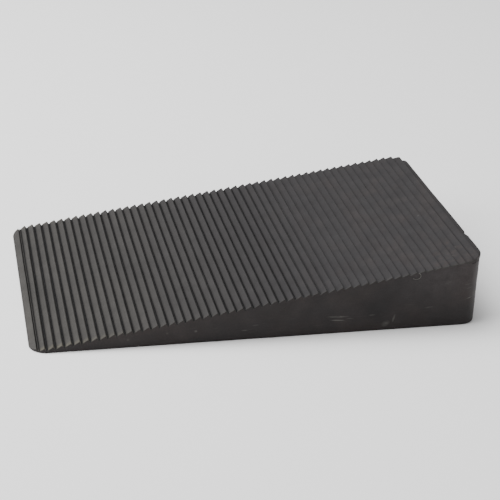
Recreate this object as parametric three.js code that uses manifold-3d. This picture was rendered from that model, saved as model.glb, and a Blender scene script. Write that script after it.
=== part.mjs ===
// A wedge door stop: one solid moulding of black rubber, in millimetres, +Z up.
// The thin toe points to -X and the tall heel to +X. The flat underside lies on Z = 0 and the
// origin is under the middle of the outline. Saw teeth cross the whole ramp: their gentle faces
// look at the toe, so a door slides up them, and their steep faces hold it from sliding back.

import * as THREE from 'three';
import { mergeVertices } from 'three/addons/utils/BufferGeometryUtils.js';
import Module from 'manifold-3d';

// Plan
const LENGTH = 161; // toe edge to the edge of the heel lip
const WIDTH = 100.6; // across the base
const SIDE_DRAFT = THREE.MathUtils.degToRad(1.22); // each side leans in towards the top
const CORNER_RADIUS = 6.2;
const CORNER_SEGMENTS = 12;

// Ramp
const RAMP_ANGLE = THREE.MathUtils.degToRad(8.82);
const TOE_THICKNESS = 0.4;
const TOOTH_COUNT = 54;
const TOOTH_PITCH = 3; // along the ramp
const TOOTH_DEPTH = 1.05; // square to the ramp, from root to tip
const GENTLE_RUN = 2.4; // of a tooth's gentle face, along the ramp
const STEEP_RUN = 0.3; // of its steep face; a narrow flat root takes the rest of the pitch
const FIRST_ROOT_X = 2.65; // behind the toe edge, where the second tooth starts
const FIRST_ROOT_Z = 0.66;
const FIRST_TOOTH_DEPTH = 0.75; // the tooth at the toe is cut short

// Heel
const LAND_HEIGHT = 0.6; // of the flat strip behind the last tooth, above the roots
const LIP_OVERHANG = 0.7; // of the strip beyond the heel wall
const LIP_THICKNESS = 1.3;
const LIP_CORNER_RADIUS = 7.6;
const LIP_ROOT = 5; // how far the lip's piece reaches into the wedge before they are joined

const HEEL_WALL_X = LENGTH / 2 - LIP_OVERHANG;
const POST_HEIGHT = 60; // more than twice the wedge's own height

const wasm = await Module();
wasm.setup();

function toManifold(geometry) {
  const bare = geometry.clone();
  bare.deleteAttribute('normal');
  bare.deleteAttribute('uv');
  const merged = mergeVertices(bare, 1e-4);
  return new wasm.Manifold(new wasm.Mesh({
    numProp: 3,
    vertProperties: merged.attributes.position.array,
    triVerts: Uint32Array.from(merged.index.array),
  }));
}

function toGeometry(solid) {
  const mesh = solid.getMesh();
  const geometry = new THREE.BufferGeometry();
  geometry.setAttribute('position', new THREE.BufferAttribute(mesh.vertProperties, 3));
  geometry.setIndex(new THREE.BufferAttribute(mesh.triVerts, 1));
  geometry.computeVertexNormals();
  return geometry;
}

// A side-view point, given along the ramp from the first root and square above the roots.
function onRamp(along, above) {
  return new THREE.Vector2(
    FIRST_ROOT_X - LENGTH / 2 + along * Math.cos(RAMP_ANGLE) - above * Math.sin(RAMP_ANGLE),
    FIRST_ROOT_Z + along * Math.sin(RAMP_ANGLE) + above * Math.cos(RAMP_ANGLE),
  );
}

// The side view of the toothed ramp, from the toe to the foot of the last tooth on the land.
function rampLine() {
  const points = [new THREE.Vector2(-LENGTH / 2, TOE_THICKNESS)];
  for (let i = 0; i < TOOTH_COUNT; i += 1) {
    const foot = (i - 1) * TOOTH_PITCH;
    const tip = foot + GENTLE_RUN;
    if (i > 0) {
      points.push(onRamp(foot, 0));
    }
    points.push(onRamp(tip, i === 0 ? FIRST_TOOTH_DEPTH : TOOTH_DEPTH));
    points.push(onRamp(tip + STEEP_RUN, i === TOOTH_COUNT - 1 ? LAND_HEIGHT : 0));
  }
  return points;
}

// The height of the land's surface at a place along X.
function landZ(x) {
  const start = rampLine().at(-1);
  return start.y + (x - start.x) * Math.tan(RAMP_ANGLE);
}

// A side view swept across the width.
function sweep(points) {
  const geometry = new THREE.ExtrudeGeometry(new THREE.Shape(points), {
    depth: WIDTH,
    bevelEnabled: false,
  });
  geometry.rotateX(Math.PI / 2);
  geometry.translate(0, WIDTH / 2, 0);
  return toManifold(geometry);
}

// Leans a post's two sides in towards the top.
function lean(geometry) {
  const position = geometry.attributes.position;
  for (let i = 0; i < position.count; i += 1) {
    const inset = position.getZ(i) * Math.tan(SIDE_DRAFT);
    position.setY(i, position.getY(i) * (1 - inset / (WIDTH / 2)));
  }
}

// A post taller than the wedge, from the toe to endX, with round corners and leaning sides.
function post(endX, toeRadius, heelRadius) {
  const [toeX, side] = [-LENGTH / 2, WIDTH / 2];
  const outline = new THREE.Shape();
  outline.absarc(endX - heelRadius, heelRadius - side, heelRadius, -Math.PI / 2, 0);
  outline.absarc(endX - heelRadius, side - heelRadius, heelRadius, 0, Math.PI / 2);
  outline.absarc(toeX + toeRadius, side - toeRadius, toeRadius, Math.PI / 2, Math.PI);
  outline.absarc(toeX + toeRadius, toeRadius - side, toeRadius, Math.PI, 1.5 * Math.PI);
  const geometry = new THREE.ExtrudeGeometry(outline, {
    depth: POST_HEIGHT,
    curveSegments: CORNER_SEGMENTS,
    bevelEnabled: false,
  });
  geometry.translate(0, 0, -POST_HEIGHT / 2);
  lean(geometry);
  return toManifold(geometry);
}

// The wedge up to its heel wall.
function body() {
  const block = sweep([
    new THREE.Vector2(-LENGTH / 2, 0),
    new THREE.Vector2(HEEL_WALL_X, 0),
    new THREE.Vector2(HEEL_WALL_X, landZ(HEEL_WALL_X)),
    ...rampLine().reverse(),
  ]);
  return block.intersect(post(HEEL_WALL_X, CORNER_RADIUS, CORNER_RADIUS));
}

// The thin lip that runs out over the heel wall, in line with the land.
function lip() {
  const inner = HEEL_WALL_X - LIP_ROOT;
  const outer = LENGTH / 2;
  const strip = sweep([
    new THREE.Vector2(inner, landZ(inner) - LIP_THICKNESS),
    new THREE.Vector2(outer, landZ(outer) - LIP_THICKNESS),
    new THREE.Vector2(outer, landZ(outer)),
    new THREE.Vector2(inner, landZ(inner)),
  ]);
  return strip.intersect(post(outer, CORNER_RADIUS, LIP_CORNER_RADIUS));
}

const blackRubber = new THREE.MeshStandardMaterial({
  color: 0x4b4a48,
  roughness: 0.85,
  metalness: 0,
});

const rubberWedge = new THREE.Mesh(toGeometry(body().add(lip())), blackRubber);
rubberWedge.name = 'rubber_wedge';

const doorStop = new THREE.Group();
doorStop.add(rubberWedge);

export default doorStop;
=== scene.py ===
"""A wedge door stop of solid black rubber: one moulded piece with saw teeth across its ramp."""

import math

import bpy
import numpy as np
from mathutils import Matrix, Vector, noise


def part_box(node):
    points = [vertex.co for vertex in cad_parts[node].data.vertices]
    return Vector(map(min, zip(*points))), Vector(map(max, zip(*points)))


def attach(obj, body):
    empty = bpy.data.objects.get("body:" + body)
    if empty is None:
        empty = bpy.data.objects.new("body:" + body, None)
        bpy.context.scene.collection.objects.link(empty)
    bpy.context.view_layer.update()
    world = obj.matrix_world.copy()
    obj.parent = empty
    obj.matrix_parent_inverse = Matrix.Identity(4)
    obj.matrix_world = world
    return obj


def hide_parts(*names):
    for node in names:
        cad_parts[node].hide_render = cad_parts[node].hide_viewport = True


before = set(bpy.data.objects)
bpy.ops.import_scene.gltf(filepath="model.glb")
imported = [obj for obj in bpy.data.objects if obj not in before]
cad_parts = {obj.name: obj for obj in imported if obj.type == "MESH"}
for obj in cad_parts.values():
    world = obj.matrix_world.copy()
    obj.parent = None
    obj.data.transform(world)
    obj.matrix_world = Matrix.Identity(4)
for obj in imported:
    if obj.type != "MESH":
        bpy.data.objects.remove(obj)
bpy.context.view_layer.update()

MM = 0.001
NODE = "rubber_wedge"
BODY = "root"

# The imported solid's box, in millimetres.
LOW, HIGH = (np.array(corner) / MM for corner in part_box(NODE))
TOE_X = LOW[0]
HEEL_X = HIGH[0]
NEAR_Y = LOW[1]
SIDE_Y = HIGH[1]

# Plan, in millimetres, as in CAD.
SIDE_DRAFT = math.radians(1.22)
LIP_OVERHANG = 0.7
LIP_THICKNESS = 1.3
CORNER_RADIUS = 6.2
LIP_CORNER_RADIUS = 7.6

# Ramp and teeth, in millimetres: places along the ramp count from each tooth's foot.
RAMP = math.radians(8.82)
TOE_THICKNESS = 0.4
TOOTH_COUNT = 54
PITCH = 3.0
DEPTH = 1.05
GENTLE_START = 0.3
GENTLE_RUN = 2.4
STEEP_RUN = 0.42
GENTLE_FOOT = 0.08  # heights of the feet of the two faces
STEEP_FOOT = 0.05
GENTLE_LIFT = 0.03  # of those feet above the bottom of a shallow groove, at least
STEEP_LIFT = 0.02
SLIT_DEPTH = 0.32  # of the sharp bottom of a groove, below the plane of the roots
SLIT_START = 0.08  # behind the foot of the steep face
SLIT_END = 0.14
LAND_HEIGHT = 0.6

# The grooves get shallower over these teeth: heights of their bottoms, in slit depths.
FLOOR_TEETH = (24, 31, 36, 46)
FLOOR_LEVELS = (-1, -0.7, 0, 0.6)

# The grooves are wider over these teeth: how much later the gentle faces start.
WIDE_TEETH = (1, 10)
WIDE_STARTS = (0.25, 0)

# The first tooth and the wide groove behind it, with a low ridge in it.
FIRST_ROOT_X = 2.77  # behind the toe edge
FIRST_ROOT_Z = 0.66
FIRST_TOOTH_DEPTH = 0.75
FIRST_TIP = -0.33
FIRST_SLIT_BACK = 0.22  # behind the first tip
RIDGE_BACK = 0.45
RIDGE_HEIGHT = 0.22
SECOND_START = 0.75  # of the second tooth's gentle face
SECOND_SLIT_AHEAD = 0.15
SECOND_FOOT = 0.06

# Rounding of edges, in millimetres.
TIP_RADIUS = 0.15
ROOT_RADIUS = 0.09
RIM_RADIUS = 0.25
BASE_RADIUS = 0.5

# Marks on this wedge, in millimetres.
CHIP_Y = (-31.2, -28.6, -27.7, -27.2)  # along the lip, from its shallow end to its steep one
CHIP_DEPTH = (0, 0.8, 1.1, 0)
CHIP_ROW = -29.0  # of points, inside the chip
STEP_Y = 8.2  # of a small step in the lip's edge
STEP_DEPTH = 0.09
STEP_RUN = 9
NICK = (57.3, 25.3)
NICK_DEPTH = 0.5
DENT = (49.9, -25.4)
DENT_DEPTH = 0.22
DIP_Y = 41.5  # where the dip at the far corner of the lip starts
DIP_DEPTH = 0.8
DIP_RUN = 3
CURL = (54.9, 20.6)  # along X and up, on the near side
CURL_RADIUS = 1.5
CURL_THICKNESS = 0.26

# Wear of the ends of the teeth, in millimetres. What the toe and the near heel corner add is its own.
END_DROP = 0.1
END_DROP_AT_TOE = 0.18
END_DROP_AT_HEEL = 0.36
END_RUN = 0.8
END_RUN_AT_HEEL = 0.7
TOE_ENDS = (-45, -67)  # along X, where the toe's share starts and where it is full

# The near ends of the grooves fade out at the heel, most at the corner.
BLUNT_X = (48, 68)
BLUNT_CORNER_X = (60, 75)
BLUNT_RUN = 2.6
BLUNT_RUN_AT_CORNER = 3.5
BLUNT_FILL = 0.6  # of the teeth's depth

# Unevenness, in millimetres.
TOOTH_WAVE = 0.06
TOOTH_RIPPLE = 0.04
TIP_ROUGHNESS = 0.045
RAMP_GRAIN = 0.015
WALL_WAVE = 0.05
WALL_RIPPLE = 0.02
WALL_INSET = 0.03
LIP_WAVE = 0.04
TOE_WAVE = 0.06

# Grooves partly filled with rubber: an even share of the depth, and lumps across the width, each as
# a share of the depth, a place from -1 to 1 and a half width.
GROOVE_FILLS = {
    12: (-0.12, ()),
    22: (0, ((0.4, 0.4, 0.1), (0.45, 0.05, 0.12), (0.4, -0.45, 0.1))),
    32: (0.12, ((0.12, 0.1, 0.25),)),
    33: (0.22, ()),
}

# Mesh density.
ROWS = 80
CORNER_STEPS = 9
TIP_STEPS = 2
ROOT_STEPS = 1
RIM_STEPS = 5
FIRST_ROW = 0.8  # millimetres in from the sides, next to the rim's rounding
FACE_SHARES = (0.35, 0.75)  # of extra points along a gentle face
WALL_SHARES = (0.1, 0.22, 0.35, 0.5, 0.65, 0.8, 1.0)  # of the rings down the wall
KNOT_GAP = 0.03  # millimetres
SHARP_ANGLE = math.radians(38)


# ---------------------------------------------------------------- camera, lights and floor

def add_camera():
    """The camera, aimed from the toe end of the near side with a slight roll."""
    azimuth, elevation, roll = (math.radians(a) for a in (13.17, 25.602, 2.576))
    aim = Vector((4.61, -5.74, 12.8)) * MM
    distance = 523.2 * MM
    forward = Vector((
        math.sin(azimuth) * math.cos(elevation),
        math.cos(azimuth) * math.cos(elevation),
        -math.sin(elevation),
    ))
    level = forward.cross(Vector((0, 0, 1))).normalized()
    above = level.cross(forward)
    right = level * math.cos(roll) + above * math.sin(roll)
    up = right.cross(forward)
    data = bpy.data.cameras.new("camera")
    data.lens = 100.65
    data.sensor_width = 36
    data.clip_start = 0.01
    data.clip_end = 20
    camera = bpy.data.objects.new("camera", data)
    bpy.context.collection.objects.link(camera)
    turn = Matrix((right, up, -forward)).transposed().to_4x4()
    camera.matrix_world = Matrix.Translation(aim - forward * distance) @ turn
    bpy.context.scene.camera = camera


def add_softbox(name, place, aim, size, power):
    """A rectangular soft light at a place, facing a point, both in metres."""
    data = bpy.data.lights.new(name, "AREA")
    data.shape = "RECTANGLE"
    data.size, data.size_y = size
    data.energy = power
    light = bpy.data.objects.new(name, data)
    bpy.context.collection.objects.link(light)
    light.location = place
    away = Vector(aim) - Vector(place)
    light.rotation_euler = away.to_track_quat("-Z", "Y").to_euler()


def add_lights():
    centre = (0, 0, 0.01)
    add_softbox("overhead_softbox", (-0.35, 0.25, 0.9), centre, (0.9, 0.9), 17)
    add_softbox("toe_softbox", (-0.9, -0.1, 0.45), centre, (0.6, 0.6), 7)
    world = bpy.data.worlds.new("studio")
    bpy.context.scene.world = world
    world.use_nodes = True
    sky = world.node_tree.nodes["Background"]
    sky.inputs["Color"].default_value = (1, 1, 1, 1)
    sky.inputs["Strength"].default_value = 0.54


def add_floor():
    """A plain pale floor that the wedge rests on."""
    reach = 3.0
    data = bpy.data.meshes.new("floor")
    corners = [(-reach, -reach, 0), (reach, -reach, 0), (reach, reach, 0), (-reach, reach, 0)]
    data.from_pydata(corners, [], [(0, 1, 2, 3)])
    floor = bpy.data.objects.new("floor", data)
    bpy.context.collection.objects.link(floor)
    material = bpy.data.materials.new("pale_floor")
    material.use_nodes = True
    shader = material.node_tree.nodes["Principled BSDF"]
    shader.inputs["Base Color"].default_value = (0.9, 0.9, 0.9, 1)
    shader.inputs["Roughness"].default_value = 0.9
    data.materials.append(material)


# ---------------------------------------------------------------- the ramp's side view

def fillet(before, corner, after, radius, steps):
    """Points of an arc that rounds a corner of a side view."""
    corner = np.array(corner, float)
    back = np.array(before, float) - corner
    ahead = np.array(after, float) - corner
    back /= np.linalg.norm(back)
    ahead /= np.linalg.norm(ahead)
    half = math.acos(np.clip(back @ ahead, -1, 1)) / 2
    centre = corner + (back + ahead) / np.linalg.norm(back + ahead) * radius / math.sin(half)
    start = corner + back * radius / math.tan(half) - centre
    end = corner + ahead * radius / math.tan(half) - centre
    swing = math.pi - 2 * half
    turn = [
        (math.sin((1 - share) * swing) * start + math.sin(share * swing) * end) / math.sin(swing)
        for share in np.linspace(0, 1, steps + 1)
    ]
    return [centre + point for point in turn]


def groove_floor(tooth):
    """Height of the bottom of the groove before a tooth: the grooves get shallower at the heel."""
    return SLIT_DEPTH * float(np.interp(tooth, FLOOR_TEETH, FLOOR_LEVELS))


def gentle_start(tooth):
    """Where a tooth's gentle face starts: the grooves are wider at the toe."""
    return GENTLE_START + float(np.interp(tooth, WIDE_TEETH, WIDE_STARTS))


def first_corners():
    """The first tooth and the wide groove behind it, as ramp_corners gives them."""
    low = -SLIT_DEPTH / 2
    return [
        (-FIRST_ROOT_X / math.cos(RAMP), 0.0, 0, "toe"),
        (FIRST_TIP, FIRST_TOOTH_DEPTH, 0, "tip"),
        (FIRST_TIP + FIRST_SLIT_BACK, low, 0, "slit"),
        (FIRST_TIP + RIDGE_BACK, RIDGE_HEIGHT, 0, "root"),
        (SECOND_START - SECOND_SLIT_AHEAD, low, 1, "slit"),
        (SECOND_START, SECOND_FOOT, 1, "root"),
    ]


def ramp_corners():
    """The teeth as corners (along the ramp, above the roots, tooth, kind), sharp as yet."""
    corners = first_corners()
    for tooth in range(1, TOOTH_COUNT):
        foot = (tooth - 1) * PITCH
        tip = foot + GENTLE_RUN
        back = tip + STEEP_RUN
        if tooth > 1:
            floor = groove_floor(tooth)
            height = max(GENTLE_FOOT, floor + GENTLE_LIFT)
            corners.append((foot + SLIT_END, floor, tooth, "slit"))
            corners.append((foot + gentle_start(tooth), height, tooth, "root"))
        corners.append((tip, DEPTH, tooth, "tip"))
        if tooth < TOOTH_COUNT - 1:
            floor = groove_floor(tooth + 1)
            corners.append((back, max(STEEP_FOOT, floor + STEEP_LIFT), tooth, "root"))
            corners.append((back + SLIT_START, floor, tooth, "slit"))
        else:
            corners.append((back, LAND_HEIGHT, tooth, "root"))
    return corners


def to_frame(along, above):
    """X and Z in millimetres from places along and above the ramp."""
    x = TOE_X + FIRST_ROOT_X + along * np.cos(RAMP) - above * np.sin(RAMP)
    z = FIRST_ROOT_Z + along * np.sin(RAMP) + above * np.cos(RAMP)
    return x, z


def root_line(x):
    """Height of the plane through the groove roots."""
    return FIRST_ROOT_Z + (x - TOE_X - FIRST_ROOT_X) * math.tan(RAMP)


def rise(x, z):
    """Height above the roots as a share of a tooth's depth."""
    return np.clip((z - root_line(x)) * math.cos(RAMP) / DEPTH, 0, 1)


def darkness(x, z):
    """How deep in a groove a point lies, from 0 at the tips to 1 at the bottom of the slit."""
    return np.clip((DEPTH - (z - root_line(x)) * math.cos(RAMP)) / (DEPTH + SLIT_DEPTH), 0, 1)


def ramp_profile():
    """The rounded side view as rows of x, z and tooth number, from toe to heel edge."""
    corners = ramp_corners()
    places = [to_frame(c[0], c[1]) for c in corners]
    places[0] = (TOE_X, TOE_THICKNESS)
    land_start = places[-1]
    land_end = (HEEL_X, land_start[1] + (HEEL_X - land_start[0]) * math.tan(RAMP))
    places.append(land_end)
    rows = [(*places[0], 0)]
    for i in range(1, len(places) - 1):
        tooth, kind = corners[i][2:]
        if kind == "slit":
            rows.append((*places[i], tooth))
            continue
        radius, steps = (TIP_RADIUS, TIP_STEPS) if kind == "tip" else (ROOT_RADIUS, ROOT_STEPS)
        arc = fillet(places[i - 1], places[i], places[i + 1], radius, steps)
        if kind == "tip":
            start = np.array(rows[-1][:2])
            rows += [(*(start + (arc[0] - start) * share), tooth) for share in FACE_SHARES]
        rows += [(*point, tooth) for point in arc]
    rows.append((*land_end, TOOTH_COUNT))
    return np.array(rows)


def with_knots(profile, knots):
    """The profile with points added on it at the given places along X."""
    kept = [x for x in knots if np.abs(profile[:, 0] - x).min() > KNOT_GAP]
    added = np.array([
        (x, np.interp(x, profile[:, 0], profile[:, 1]), np.interp(x, profile[:, 0], profile[:, 2]))
        for x in kept
    ])
    merged = np.vstack([profile, added])
    return merged[np.argsort(merged[:, 0])]


def outline_knots():
    """Places along X that the corner arcs, the rim's rounding and the dip in the lip need."""
    swing = np.linspace(0, math.pi / 2, CORNER_STEPS + 1)[1:-1]
    toe = TOE_X + CORNER_RADIUS * (1 - np.cos(swing))
    heel = HEEL_X - LIP_CORNER_RADIUS * (1 - np.cos(swing))
    rim = rim_offsets()[1:]
    land = np.linspace(HEEL_X - 1.6, HEEL_X - 0.5, 3)
    return [*toe, *heel, *(TOE_X + rim), *(HEEL_X - rim), *land]


def rim_offsets():
    """Distances in from an outer edge that sample its rounding."""
    angles = np.linspace(0, math.pi / 2, RIM_STEPS)
    return RIM_RADIUS * (1 - np.cos(angles))


# ---------------------------------------------------------------- plan outlines

def top_inset(x):
    """How far the plan's corner arcs stand in from the side at a place along X."""
    toe = np.clip(CORNER_RADIUS - (x - TOE_X), 0, CORNER_RADIUS)
    heel = np.clip(LIP_CORNER_RADIUS - (HEEL_X - x), 0, LIP_CORNER_RADIUS)
    at_toe = CORNER_RADIUS - np.sqrt(CORNER_RADIUS**2 - toe**2)
    at_heel = LIP_CORNER_RADIUS - np.sqrt(LIP_CORNER_RADIUS**2 - heel**2)
    return at_toe + at_heel


def rim_distance(x, y):
    """Distance in from the top outline, a rectangle with round corners."""
    y = np.abs(y)
    toe = (TOE_X + CORNER_RADIUS - x, y - (SIDE_Y - CORNER_RADIUS), CORNER_RADIUS)
    heel = (x - (HEEL_X - LIP_CORNER_RADIUS), y - (SIDE_Y - LIP_CORNER_RADIUS), LIP_CORNER_RADIUS)
    distance = np.minimum(np.minimum(x - TOE_X, HEEL_X - x), SIDE_Y - y)
    for along, across, radius in (toe, heel):
        inside = (along > 0) & (across > 0)
        distance = np.where(inside, radius - np.hypot(along, across), distance)
    return np.maximum(distance, 0)


def outward(x, y):
    """Unit normal of the top outline at a point on it."""
    normal = np.zeros((len(x), 2))
    side = np.sign(y)
    across = np.abs(y)
    normal[:, 1] = side
    normal[x < TOE_X + 1e-6] = (-1, 0)
    normal[x > HEEL_X - 1e-6] = (1, 0)
    for centre_x, radius, sign in (
        (TOE_X + CORNER_RADIUS, CORNER_RADIUS, -1),
        (HEEL_X - LIP_CORNER_RADIUS, LIP_CORNER_RADIUS, 1),
    ):
        along = (x - centre_x) * sign
        over = across - (SIDE_Y - radius)
        corner = (along > 0) & (over > 0)
        normal[corner, 0] = sign * along[corner] / radius
        normal[corner, 1] = side[corner] * over[corner] / radius
    return normal


def wall_outline(x, y, normal):
    """Where the wall below the lip stands for each point of the top outline."""
    wall_x = HEEL_X - LIP_OVERHANG
    top_start = HEEL_X - LIP_CORNER_RADIUS
    wall_start = wall_x - CORNER_RADIUS
    share = np.clip(x / top_start, 0, None)
    new_x = np.where(x > 0, share * wall_start, x)
    new_y = y.copy()
    corner = x > top_start + 1e-6
    edge = x > HEEL_X - 1e-6
    new_x[corner] = wall_start + CORNER_RADIUS * normal[corner, 0]
    new_y[corner] = np.sign(y[corner]) * (SIDE_Y - CORNER_RADIUS) + CORNER_RADIUS * normal[corner, 1]
    new_x[edge] = wall_x
    new_y[edge] = y[edge] * (SIDE_Y - CORNER_RADIUS) / (SIDE_Y - LIP_CORNER_RADIUS)
    return new_x, new_y


# ---------------------------------------------------------------- irregularities of the moulding

def fbm(x, y, z, octaves=3):
    """Smooth noise of about -1 to 1 at one point."""
    return noise.fractal(Vector((x, y, z)), 1.0, 2.0, octaves)


def bell(value, centre, spread):
    """A smooth bump of height 1."""
    return np.exp(-(((value - centre) / spread) ** 2))


def progress(value, start, end):
    """How far a value has come from start to end, from 0 to 1."""
    return np.clip((value - start) / (end - start), 0, 1)


def groove_fill(groove, across):
    """Share of its depth by which a groove is filled with rubber, by place across from -1 to 1."""
    even, lumps = GROOVE_FILLS.get(groove, (0, ()))
    lumpy = sum(share * bell(across, place, spread) for share, place, spread in lumps)
    return even + lumpy + 0 * across


def tooth_wander(profile, across):
    """Shifts along X, in millimetres, of each profile point at each row."""
    shift = np.zeros((len(profile), len(across)))
    for tooth in range(TOOTH_COUNT + 1):
        wave = np.array([
            TOOTH_WAVE * fbm(tooth * 7.3, y * 2.2, 1.5) + TOOTH_RIPPLE * fbm(tooth * 3.1, y * 14.0, 8.5)
            for y in across
        ])
        shift[np.round(profile[:, 2]) == tooth] = wave
    return shift


def relief(profile, across):
    """Height changes, in millimetres, of each profile point at each row."""
    above = rise(profile[:, 0], profile[:, 1])
    change = np.zeros((len(profile), len(across)))
    for i, (x, _, tooth) in enumerate(profile):
        number = round(tooth)
        past_tip = x > to_frame((number - 1) * PITCH + GENTLE_RUN, 0)[0]
        groove = number + 1 if past_tip else number
        fill = groove_fill(groove, across) * DEPTH * (1 - above[i]) ** 2
        tip = np.array([TIP_ROUGHNESS * fbm(number * 5.7, y * 9.0, 3.0) * above[i] for y in across])
        grain = np.array([RAMP_GRAIN * fbm(x * 0.9, y * 30.0, 5.0) for y in across])
        change[i] = fill + (tip + grain)
    return change


def worn_ends(x, y, distance):
    """How far, in millimetres, the ends of the teeth slope down: most at the near heel corner."""
    at_heel = progress(x, 0, HEEL_X)
    at_heel = np.where(y < 0, at_heel, 0.2 * at_heel)
    at_toe = progress(x, *TOE_ENDS)
    reach = END_RUN + END_RUN_AT_HEEL * at_heel
    slope = progress(distance, reach, 0) ** (1 + at_heel)
    uneven = np.vectorize(lambda a, b: 0.75 + 0.6 * fbm(a / 1.7, b / 40, 6.0))(x, y)
    return slope * (END_DROP + END_DROP_AT_TOE * at_toe + END_DROP_AT_HEEL * at_heel) * uneven


def blunted(x, y, distance):
    """Share by which the grooves are filled at their near ends at the heel, from 0 to 1."""
    reach = BLUNT_RUN + BLUNT_RUN_AT_CORNER * progress(x, *BLUNT_CORNER_X)
    return progress(x, *BLUNT_X) * np.clip(1.25 - distance / reach, 0, 1) * (y < 0)


def lip_wear(y):
    """How far, in millimetres, the lip's edge stands in: a chip, a small step and a slight wave."""
    chip = np.interp(y, CHIP_Y, CHIP_DEPTH, left=0, right=0)
    step = STEP_DEPTH * np.where(y > STEP_Y, np.exp((STEP_Y - y) / STEP_RUN), 0)
    wave = np.array([LIP_WAVE * (1 + fbm(place / 6, 2.0, 9.0)) for place in np.ravel(y)])
    return chip + step + wave.reshape(np.shape(y))


def toe_wear(y):
    """How far, in millimetres, the thin toe edge stands in."""
    wave = np.array([TOE_WAVE * (1 + fbm(place / 7, 5.0, 1.0)) for place in np.ravel(y)])
    return wave.reshape(np.shape(y))


# ---------------------------------------------------------------- the wedge's mesh

def row_shares():
    """Places of the rows across the width, from -1 to 1, with more of them at the chip and the step."""
    even = np.linspace(-1, 1, ROWS)
    marks = np.array([*CHIP_Y, CHIP_ROW, STEP_Y - 0.1, STEP_Y + 0.1]) / (SIDE_Y - LIP_CORNER_RADIUS)
    clear = [share for share in even if np.abs(marks - share).min() > 0.006]
    return np.sort(np.concatenate([clear, marks]))


def top_grid(profile):
    """Points of the ramp as a grid: profile points by rows across the width."""
    offsets = np.append(rim_offsets(), FIRST_ROW)
    shares = row_shares()
    reach = SIDE_Y - top_inset(profile[:, 0])[:, None]
    inner = shares[None, :] * (reach - offsets[-1])
    y = np.concatenate([offsets[:-1] - reach, inner, reach - offsets[:-1][::-1]], axis=1)
    grid = np.zeros((*y.shape, 3))
    grid[..., 0] = profile[:, 0, None]
    grid[..., 1] = y
    grid[..., 2] = profile[:, 1, None]
    return grid


def round_rim(grid):
    """Rounds the grid's outer edge, lowers the worn ends of the teeth and fills the blunted grooves."""
    x, y, z = grid[..., 0], grid[..., 1], grid[..., 2]
    distance = rim_distance(x, y)
    gap = np.clip(RIM_RADIUS - distance, 0, RIM_RADIUS)
    drop = RIM_RADIUS - np.sqrt(RIM_RADIUS**2 - gap**2)
    side = progress(x, TOE_X + 2, TOE_X + 6) * progress(x, HEEL_X - 2, HEEL_X - 4)
    drop += worn_ends(x, y, distance) * side * (0.25 + 0.75 * rise(x, z))
    room = np.maximum(z - 0.2, 0.05)
    fill = BLUNT_FILL * DEPTH * blunted(x, y, distance) * (1 - rise(x, z))
    grid[..., 2] = z - np.minimum(drop, room) + fill * np.clip(distance / RIM_RADIUS, 0, 1)


def mark_ramp(grid):
    """A nick across one tooth's tip, a shallow dent and a dip at the far corner of the lip."""
    x, y, z = grid[..., 0], grid[..., 1], grid[..., 2]
    nick = bell(x, NICK[0], 1.2) * bell(y, NICK[1], 0.8) * rise(x, z)
    dent = bell(x, DENT[0], 1.3) * bell(y, DENT[1], 1.2)
    land = progress(x, HEEL_X - 1.75, HEEL_X - 1.5) * np.maximum(progress(x, HEEL_X, HEEL_X - 0.9), 0.25)
    dip = land * progress(y, DIP_Y, DIP_Y + DIP_RUN)
    grid[..., 2] = z - NICK_DEPTH * nick - DENT_DEPTH * dent - DIP_DEPTH * dip


def wear_edges(points):
    """Moves the points next to the toe and heel edges in along X."""
    x, y = points[..., 0], points[..., 1]
    heel = progress(x, HEEL_X - 1.5, HEEL_X)
    toe = progress(x, TOE_X + 1, TOE_X)
    points[..., 0] = x - heel * lip_wear(y) + toe * toe_wear(y)


def roughen(grid, profile):
    """Gives the teeth their waviness and the grooves their uneven depth."""
    across = grid[len(grid) // 2, :, 1] / SIDE_Y
    ease = progress(rim_distance(grid[..., 0], 0 * grid[..., 0]), 0, 2)
    change = relief(profile, across)
    grid[..., 0] += tooth_wander(profile, across) * ease
    grid[..., 2] += change * ease


def border(columns, rows):
    """Index pairs round the grid's edge, anticlockwise from above, starting at the near toe."""
    near = [(i, 0) for i in range(columns)]
    heel = [(columns - 1, j) for j in range(1, rows)]
    far = [(i, rows - 1) for i in range(columns - 2, -1, -1)]
    toe = [(0, j) for j in range(rows - 2, 0, -1)]
    return near + heel + far + toe


def wall_waves(ring, normal):
    """Makes a ring of the wall slightly uneven, by a few hundredths of a millimetre."""
    for point, (nx, ny) in zip(ring, normal):
        x, y, z = point
        wave = WALL_WAVE * fbm(x / 16, y / 16, z / 9)
        ripple = WALL_RIPPLE * fbm(x / 2.5, y / 2.5, z / 2.5)
        out = wave + ripple - WALL_INSET
        point[0] += nx * out
        point[1] += ny * out
    return ring


def wall_heights(x, rim_z, lipped):
    """Heights of the rim's shoulder, the lip's lower edge, the wall's start and the base's rounding."""
    shoulder = np.minimum(root_line(x) - 0.1, rim_z - 0.04)
    under = shoulder - np.minimum(0.3, shoulder * 0.2)
    under += (np.minimum(under, rim_z - LIP_THICKNESS) - under) * lipped
    start = under - np.minimum(0.25, under * 0.2)
    base = np.minimum(BASE_RADIUS, start * 0.4)
    return shoulder, under, start, base


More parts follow.
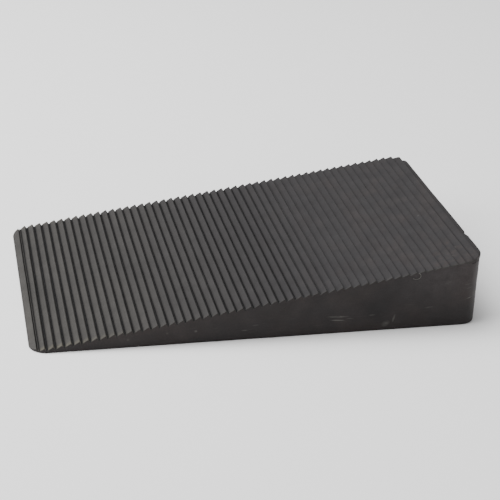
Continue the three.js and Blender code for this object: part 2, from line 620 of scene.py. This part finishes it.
def wall_rings(edge, plan):
    """Rings of points from the ramp's rim down the walls and round the base edge."""
    x, y = plan[:, 0], plan[:, 1]
    normal = outward(x, y)
    wall_x, wall_y = wall_outline(x, y, normal)
    overhang = np.maximum((x - wall_x) * normal[:, 0] + (y - wall_y) * normal[:, 1], 0)
    lipped = progress(overhang, 0, LIP_OVERHANG)
    shoulder, under, start, base = wall_heights(x, edge[:, 2], lipped)

    def ring(px, py, pz, inset):
        return np.stack([px - normal[:, 0] * inset, py - normal[:, 1] * inset, pz], axis=1)

    rings = [
        ring(x, y, shoulder, 0),
        ring(x, y, under + (shoulder - under) * 0.4, 0.04 * lipped),
        ring(x, y, under + (shoulder - under) * 0.12, 0.16 * lipped),
        ring(x, y, under, 0.4 * overhang),
        ring(wall_x, wall_y, under - (under - start) * 0.2, -0.12 * lipped),
        ring(wall_x, wall_y, start, 0),
    ]
    for ring_points in rings[:4]:
        wear_edges(ring_points)
    for share in WALL_SHARES:
        rings.append(wall_waves(ring(wall_x, wall_y, start + (base - start) * share, 0), normal))
    rings += base_rings(rings[-1], normal, base)
    rings.append(ring(wall_x, wall_y, 0 * base, base + 2.0))
    return rings


def base_rings(foot, normal, base):
    """Rings that round the foot of the wall into the underside."""
    rings = []
    for angle in np.radians((30, 60, 90)):
        inset = base * (1 - math.cos(angle))
        curl = foot - np.stack([normal[:, 0] * inset, normal[:, 1] * inset, 0 * base], axis=1)
        curl[:, 2] = base * (1 - math.sin(angle))
        rings.append(curl)
    return rings


def lean_in(points):
    """Leans the sides in towards the top by the mould's draft."""
    points[..., 1] *= 1 - points[..., 2] * math.tan(SIDE_DRAFT) / SIDE_Y


def wedge_faces(columns, rows, loop, ring_count):
    """Faces of the ramp's grid, of the walls and of the underside."""
    faces = []
    for i in range(columns - 1):
        for j in range(rows - 1):
            a = i * rows + j
            faces.append((a, a + rows, a + rows + 1, a + 1))
    above = [i * rows + j for i, j in loop]
    first = columns * rows
    for _ in range(ring_count):
        below = list(range(first, first + len(loop)))
        turned_above = above[1:] + above[:1]
        turned_below = below[1:] + below[:1]
        faces += zip(above, below, turned_below, turned_above)
        above = below
        first += len(loop)
    faces.append(tuple(reversed(above)))
    return faces


def flash_curl(first):
    """A curl of moulding flash under the near rim: the points and faces of a thin bent thread."""
    points = []
    faces = []
    steps, sides = 20, 6
    for i, turn in enumerate(np.linspace(math.radians(-150), math.radians(70), steps)):
        out = np.array((math.cos(turn), 0, math.sin(turn)))
        middle = np.array((CURL[0], NEAR_Y - 0.05, CURL[1])) + out * CURL_RADIUS * (1.0, 0, 0.8)
        for angle in np.linspace(0, 2 * math.pi, sides, endpoint=False):
            spoke = math.cos(angle) * out + math.sin(angle) * np.array((0, 1, 0))
            points.append(middle + CURL_THICKNESS / 2 * spoke)
        if i:
            ring = first + (i - 1) * sides
            for j in range(sides):
                k = (j + 1) % sides
                faces.append((ring + j, ring + k, ring + sides + k, ring + sides + j))
    return np.array(points), faces


def groove_darkness(grid, profile):
    """How much painted groove shade each point of the ramp gets: less on the land and in the blunted
    grooves.
    """
    x, y, z = grid[..., 0], grid[..., 1], grid[..., 2]
    depth = darkness(x, z)
    last_tip = to_frame((TOOTH_COUNT - 2) * PITCH + GENTLE_RUN, DEPTH)[0]
    depth[profile[:, 0] > last_tip] *= 0.4
    return depth * (1 - 0.8 * blunted(x, y, rim_distance(x, y)))


def end_paleness(grid):
    """How pale each point of the ramp is, from wear and a painted highlight on the worn bevels: most at
    the ends of the teeth.
    """
    distance = rim_distance(grid[..., 0], grid[..., 1])
    return np.clip(1.6 - distance / 0.9, 0, 1) * progress(grid[..., 0], TOE_X + 2, TOE_X + 4)


def wedge_mesh():
    """The wedge's mesh, with the numbers that its material reads."""
    profile = with_knots(ramp_profile(), outline_knots())
    grid = top_grid(profile)
    plan = grid[..., :2].copy()
    depth = groove_darkness(grid, profile)
    pale = end_paleness(grid)
    round_rim(grid)
    roughen(grid, profile)
    mark_ramp(grid)
    wear_edges(grid)
    columns, rows = grid.shape[:2]
    loop = border(columns, rows)
    i, j = np.transpose(loop)
    rings = wall_rings(grid[i, j], plan[i, j])
    body = np.vstack([grid.reshape(-1, 3), *rings])
    curl, curl_faces = flash_curl(len(body))
    points = np.vstack([body, curl])
    lean_in(points)
    points = np.clip(points, LOW, HIGH)
    mesh = bpy.data.meshes.new("wedge")
    faces = wedge_faces(columns, rows, loop, len(rings)) + curl_faces
    mesh.from_pydata((points * MM).tolist(), [], faces)
    mesh.update()
    store(mesh, "groove", depth.ravel())
    store(mesh, "end_wear_and_highlight", pale.ravel())
    store(mesh, "flash", np.repeat([0.0, 1.0], [len(body), len(curl)]))
    return mesh


def store(mesh, name, values):
    """Keeps a number for each of the mesh's first points, and 0 for the rest, for the material."""
    attribute = mesh.attributes.new(name, "FLOAT", "POINT")
    full = np.zeros(len(mesh.vertices), np.float32)
    full[:len(values)] = values
    attribute.data.foreach_set("value", full)


# ---------------------------------------------------------------- material

class Shading:
    """A material's node tree, with short ways to add what the rubber needs."""

    def __init__(self, name):
        self.material = bpy.data.materials.new(name)
        self.material.use_nodes = True
        self.tree = self.material.node_tree
        self.shader = self.tree.nodes["Principled BSDF"]
        self.place = self.add("ShaderNodeTexCoord").outputs["Object"]
        self.axes = self.split(self.place)
        self.normal = self.split(self.add("ShaderNodeNewGeometry").outputs["Normal"])

    def add(self, kind, **settings):
        node = self.tree.nodes.new(kind)
        for name, value in settings.items():
            setattr(node, name, value)
        return node

    def feed(self, socket, value):
        """Links an output to a socket, or sets the socket to a plain value."""
        if isinstance(value, bpy.types.NodeSocket):
            self.tree.links.new(value, socket)
        else:
            socket.default_value = value

    def split(self, vector):
        """The X, Y and Z outputs of a vector."""
        node = self.add("ShaderNodeSeparateXYZ")
        self.feed(node.inputs[0], vector)
        return node.outputs

    def noise(self, size, detail=3.0, stretch=(1, 1, 1), offset=0.0):
        """Noise whose features are about size millimetres across, times stretch along each axis.

        Another offset gives other noise of the same kind.
        """
        mapping = self.add("ShaderNodeMapping")
        self.feed(mapping.inputs["Vector"], self.place)
        self.feed(mapping.inputs["Location"], (offset, offset, offset))
        self.feed(mapping.inputs["Scale"], tuple(1 / (MM * size * s) for s in stretch))
        texture = self.add("ShaderNodeTexNoise")
        self.feed(texture.inputs["Vector"], mapping.outputs["Vector"])
        self.feed(texture.inputs["Scale"], 1.0)
        self.feed(texture.inputs["Detail"], detail)
        return texture.outputs["Fac"]

    def spot(self, centre, radii, tilt=0.0):
        """1 in the middle of a soft ellipsoid, fading to 0 at its surface; millimetres, degrees."""
        mapping = self.add("ShaderNodeMapping", vector_type="TEXTURE")
        self.feed(mapping.inputs["Vector"], self.place)
        self.feed(mapping.inputs["Location"], tuple(c * MM for c in centre))
        self.feed(mapping.inputs["Rotation"], (0, math.radians(-tilt), 0))
        self.feed(mapping.inputs["Scale"], tuple(r * MM for r in radii))
        texture = self.add("ShaderNodeTexGradient", gradient_type="SPHERICAL")
        self.feed(texture.inputs["Vector"], mapping.outputs["Vector"])
        return texture.outputs["Fac"]

    def attribute(self, name):
        return self.add("ShaderNodeAttribute", attribute_name=name).outputs["Fac"]

    def span(self, value, low, high, start=0.0, end=1.0):
        """Maps low..high of a value to start..end, clamped."""
        node = self.add("ShaderNodeMapRange")
        for socket, number in zip(node.inputs, (value, low, high, start, end)):
            self.feed(socket, number)
        return node.outputs["Result"]

    def along(self, axis, low, high, start=0.0, end=1.0):
        """Maps low..high along an axis, in millimetres, to start..end, clamped."""
        return self.span(self.axes[axis], low * MM, high * MM, start, end)

    def facing(self, axis, low, high, start=0.0, end=1.0):
        """Maps low..high of the surface normal along an axis to start..end, clamped."""
        return self.span(self.normal[axis], low, high, start, end)

    def times(self, a, b):
        return self.math("MULTIPLY", a, b)

    def math(self, operation, a, b):
        node = self.add("ShaderNodeMath", operation=operation)
        self.feed(node.inputs[0], a)
        self.feed(node.inputs[1], b)
        return node.outputs["Value"]

    def blend(self, a, b, share, mode="MIX"):
        """Colour a turned towards colour b by a share."""
        node = self.add("ShaderNodeMix", data_type="RGBA", blend_type=mode)
        colours = [socket for socket in node.inputs if socket.type == "RGBA"]
        self.feed(node.inputs["Factor"], share)
        self.feed(colours[0], a)
        self.feed(colours[1], b)
        return next(socket for socket in node.outputs if socket.type == "RGBA")


# Colours, linear.
CLEAN_BLACK = (0.0122, 0.0093, 0.0094, 1)
# Nearly black: painted shade in the grooves and on the steep faces, and the colour of the dark smudge on
# the near side.
SHADE_AND_SMUDGE_BLACK = (0.0010, 0.0009, 0.0014, 1)
WORN_GREY = (0.0151, 0.0136, 0.0144, 1)
# Dust, with painted light, towards the toe.
TOE_DUST_AND_LIGHT = (0.0508, 0.0480, 0.0435, 1)
# Dust on the worn tooth ends at the toe, with a painted highlight on their bevels.
END_DUST_AND_HIGHLIGHT = (0.080, 0.073, 0.056, 1)
# Paler grey for the near side towards the heel and the top.
HEEL_PALE_GREY = (0.090, 0.076, 0.077, 1)
BROWN_FILM = (0.040, 0.028, 0.024, 1)
# Pale grey of the scuffs and marks, also the painted highlight on the near rim and the flash curl.
SCUFF_AND_HIGHLIGHT_GREY = (0.085, 0.083, 0.075, 1)

# Scuffs on the near side: x, z, half length, half width in millimetres, tilt in degrees, strength.
SCUFFS = (
    (27.0, 6.6, 4.6, 0.45, -3, 0.55),
    (27.0, 5.2, 3.2, 0.35, -4, 0.75),
    (31.5, 5.6, 1.6, 0.3, -4, 0.35),
    (39.5, 6.4, 1.6, 0.35, 0, 0.35),
    (44.8, 2.6, 1.8, 1.3, 20, 0.6),
    (47.7, 4.6, 1.8, 0.5, 75, 0.65),
    (60.5, 8.0, 2.2, 0.35, 6, 0.2),
    (75.6, 10.6, 1.4, 0.3, 8, 0.7),
    (75.3, 14.6, 1.8, 0.25, 5, 0.35),
    (74.9, 16.2, 1.9, 0.25, 3, 0.35),
    (67.0, 17.3, 1.8, 0.8, 25, 0.14),
    (-23.7, 4.6, 0.7, 0.6, 0, 0.6),
    (-47.2, 3.1, 0.6, 0.5, 0, 0.4),
    (-33.6, 4.5, 0.5, 0.5, 0, 0.3),
    (-6.5, 3.7, 1.4, 0.35, 0, 0.4),
    (-2.5, 5.4, 1.6, 0.3, 4, 0.3),
)

# Other marks, in millimetres: the middles of a dark smudge on the near side and of the grime at the
# near heel corner of the ramp, and small marks on the ramp as x, y, radius, colour and strength.
SMUDGE = (41.5, NEAR_Y + 0.3, 8.5)
GRIME = (70.0, -44.0, 24.0)
RAMP_MARKS = (
    (69.0, -7.4, 0.5, SCUFF_AND_HIGHLIGHT_GREY, 0.25),
    (70.5, -42.0, 0.5, SCUFF_AND_HIGHLIGHT_GREY, 0.35),
    (73.5, -36.1, 0.6, SCUFF_AND_HIGHLIGHT_GREY, 0.25),
    (71.7, -32.7, 1.0, BROWN_FILM, 0.3),
)

# Finish.
SIDE_ROUGHNESS = 0.52
RAMP_ROUGHNESS = 0.68
SCUFF_ROUGHNESS = 0.2  # added to the side's
SPECULAR_LEVEL = 0.26
BUMP_STRENGTH = 0.35
BUMP_DISTANCE = 0.12  # millimetres


def toe_dust_and_light(rubber):
    """Share of dust and painted light on the ramp: more towards the toe and the near side, in clouds."""
    towards_toe = rubber.along("X", HEEL_X * 0.1, TOE_X, 0.0, 0.62)
    nearer = rubber.along("Y", NEAR_Y, 0.0, 1.22, 1.0)
    cloudy = rubber.span(rubber.noise(9.0, 4.0, (1, 2.5, 1)), 0.3, 0.7, 0.75, 1.25)
    return rubber.times(rubber.times(towards_toe, nearer), cloudy)


def worn_and_lit_grey(rubber):
    """Worn grey: dust and painted light to the toe, pale ends there with a painted highlight, brown film
    and grime at the heel.
    """
    grey = rubber.blend(WORN_GREY, TOE_DUST_AND_LIGHT, toe_dust_and_light(rubber))
    # Paler tooth ends at the toe: dust and a painted highlight on the worn bevels.
    ends = rubber.times(rubber.attribute("end_wear_and_highlight"), rubber.along("X", -43, -71))
    grey = rubber.blend(grey, END_DUST_AND_HIGHLIGHT, rubber.times(ends, 0.7))
    film = rubber.span(rubber.noise(8.0, 4.0, (1, 1.4, 1), 3.0), 0.46, 0.7, 0.0, 0.22)
    grey = rubber.blend(grey, BROWN_FILM, rubber.times(film, rubber.along("X", -10, 75)))
    grimy = rubber.span(rubber.spot(GRIME, (16, 16, 9)), 0.0, 0.6)
    grime = rubber.span(rubber.noise(2.4, 4.0, (1, 1, 1), 4.0), 0.44, 0.66, 0.0, 0.26)
    return rubber.blend(grey, BROWN_FILM, rubber.times(grimy, grime))


def ramp_colour(rubber):
    """Worn grey with small marks on the gentle faces, and painted shade, nearly black, in the grooves
    and on the steep faces.
    """
    grey = worn_and_lit_grey(rubber)
    for x, y, radius, tint, strength in RAMP_MARKS:
        mark = rubber.spot((x, y, root_line(x) + 0.6), (radius, radius * 1.4, 2.0))
        grey = rubber.blend(grey, tint, rubber.span(mark, 0.0, 0.8, 0.0, strength))
    # Painted shade: the grooves and the steep faces turn nearly black, fading out across the middle of
    # the ramp towards the heel.
    shallow = rubber.along("X", -6, 34)
    exposed = rubber.math("MAXIMUM", rubber.span(rubber.attribute("groove"), 0.9, 0.54), shallow)
    gentle = rubber.facing("X", 0.8, 1.0, 1.0, 0.0)
    return rubber.blend(SHADE_AND_SMUDGE_BLACK, grey, rubber.times(exposed, gentle))


def side_colour(rubber):
    """Clean black with a brown film, a dark smudge, paler clouds near the heel's top and level
    scratches.
    """
    film = rubber.span(rubber.noise(11.0, 4.0, (1.6, 1, 1), 7.0), 0.45, 0.7, 0.0, 0.3)
    colour = rubber.blend(CLEAN_BLACK, BROWN_FILM, film)
    smudge = rubber.spot(SMUDGE, (6.5, 3.0, 4.5), 25)
    colour = rubber.blend(colour, SHADE_AND_SMUDGE_BLACK, rubber.span(smudge, 0.0, 0.8, 0.0, 0.5))
    heelward_and_up = rubber.times(rubber.along("X", 44, 62, 0.0, 0.2), rubber.along("Z", 6, 20))
    cloudy = rubber.span(rubber.noise(3.0, 5.0, (1, 1, 1), 9.0), 0.3, 0.7, 0.55, 1.3)
    colour = rubber.blend(colour, HEEL_PALE_GREY, rubber.times(heelward_and_up, cloudy))
    hairs = rubber.span(rubber.noise(0.5, 2.0, (14, 1, 0.6), 1.0), 0.66, 0.8, 0.0, 0.18)
    return rubber.blend(colour, SCUFF_AND_HIGHLIGHT_GREY, hairs)


def scuff_mask(rubber):
    """The placed scuffs on the near side, broken up by fine noise."""
    total = 0.0
    for x, z, half_length, half_width, tilt, strength in SCUFFS:
        mark = rubber.spot((x, NEAR_Y + 0.2, z), (half_length, 3.0, half_width), tilt)
        mark = rubber.span(mark, 0.0, 0.7, 0.0, strength)
        total = rubber.math("MAXIMUM", mark, total)
    broken = rubber.span(rubber.noise(0.6, 3.0, (3, 1, 1), 5.0), 0.35, 0.6, 0.45, 1.0)
    return rubber.times(total, broken)


def mottling(rubber):
    """Grey near 1 that darkens and lightens the colour in speckles and in patches."""
    speckle = rubber.span(rubber.noise(0.45, 2.0), 0.25, 0.75, 0.86, 1.14)
    patches = rubber.span(rubber.noise(5.0, 5.0), 0.25, 0.75, 0.88, 1.12)
    level = rubber.times(speckle, patches)
    shade = rubber.add("ShaderNodeCombineXYZ")
    for socket in shade.inputs:
        rubber.feed(socket, level)
    return shade.outputs["Vector"]


def rubber_colour(rubber, scuffs):
    """The ramp's colour where the surface faces up, the side's elsewhere, and a painted highlight on the
    near rim and the flash curl.
    """
    side = rubber.blend(side_colour(rubber), SCUFF_AND_HIGHLIGHT_GREY, scuffs)
    colour = rubber.blend(side, ramp_colour(rubber), rubber.facing("Z", 0.12, 0.4))
    # Painted highlight: the near rim, where it faces the near side and up, turns pale grey.
    rim = rubber.times(rubber.facing("Y", -0.3, -0.7, 0.0, 0.32), rubber.facing("Z", 0.1, 0.45))
    colour = rubber.blend(colour, SCUFF_AND_HIGHLIGHT_GREY, rim)
    # Painted highlight: the flash curl is painted pale grey, to look lit in spite of its own shading.
    colour = rubber.blend(colour, SCUFF_AND_HIGHLIGHT_GREY, rubber.times(rubber.attribute("flash"), 0.9))
    return rubber.blend(colour, mottling(rubber), 1.0, "MULTIPLY")


def rubber_roughness(rubber, scuffs):
    """Duller on the ramp and on the scuffs than on the clean side, in patches."""
    upward = rubber.facing("Z", 0.2, 0.62)
    patches = rubber.span(rubber.noise(7.0, 4.0, (1, 1, 1), 2.0), 0.3, 0.7, -0.06, 0.06)
    even = rubber.span(upward, 0.0, 1.0, SIDE_ROUGHNESS, RAMP_ROUGHNESS)
    scuffed = rubber.times(scuffs, SCUFF_ROUGHNESS)
    return rubber.math("ADD", rubber.math("ADD", even, patches), scuffed)


def rubber_bump(rubber, scuffs):
    """Fine and coarse grain, pressed in a little at the scuffs."""
    grain = rubber.math("ADD", rubber.noise(0.35, 3.0), rubber.times(rubber.noise(1.6, 3.0), 1.5))
    bump = rubber.add("ShaderNodeBump")
    rubber.feed(bump.inputs["Height"], rubber.math("SUBTRACT", grain, rubber.times(scuffs, 0.5)))
    rubber.feed(bump.inputs["Strength"], BUMP_STRENGTH)
    rubber.feed(bump.inputs["Distance"], BUMP_DISTANCE * MM)
    return bump.outputs["Normal"]


def rubber_material():
    rubber = Shading("black_rubber")
    scuffs = scuff_mask(rubber)
    rubber.feed(rubber.shader.inputs["Base Color"], rubber_colour(rubber, scuffs))
    rubber.feed(rubber.shader.inputs["Roughness"], rubber_roughness(rubber, scuffs))
    rubber.feed(rubber.shader.inputs["Specular IOR Level"], SPECULAR_LEVEL)
    rubber.feed(rubber.shader.inputs["Normal"], rubber_bump(rubber, scuffs))
    return rubber.material


def add_wedge():
    mesh = wedge_mesh()
    mesh.materials.append(rubber_material())
    mesh.shade_smooth()
    mesh.set_sharp_from_angle(angle=SHARP_ANGLE)
    wedge = bpy.data.objects.new("wedge", mesh)
    bpy.context.collection.objects.link(wedge)
    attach(wedge, BODY)
    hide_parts(NODE)


add_camera()
add_lights()
add_floor()
add_wedge()
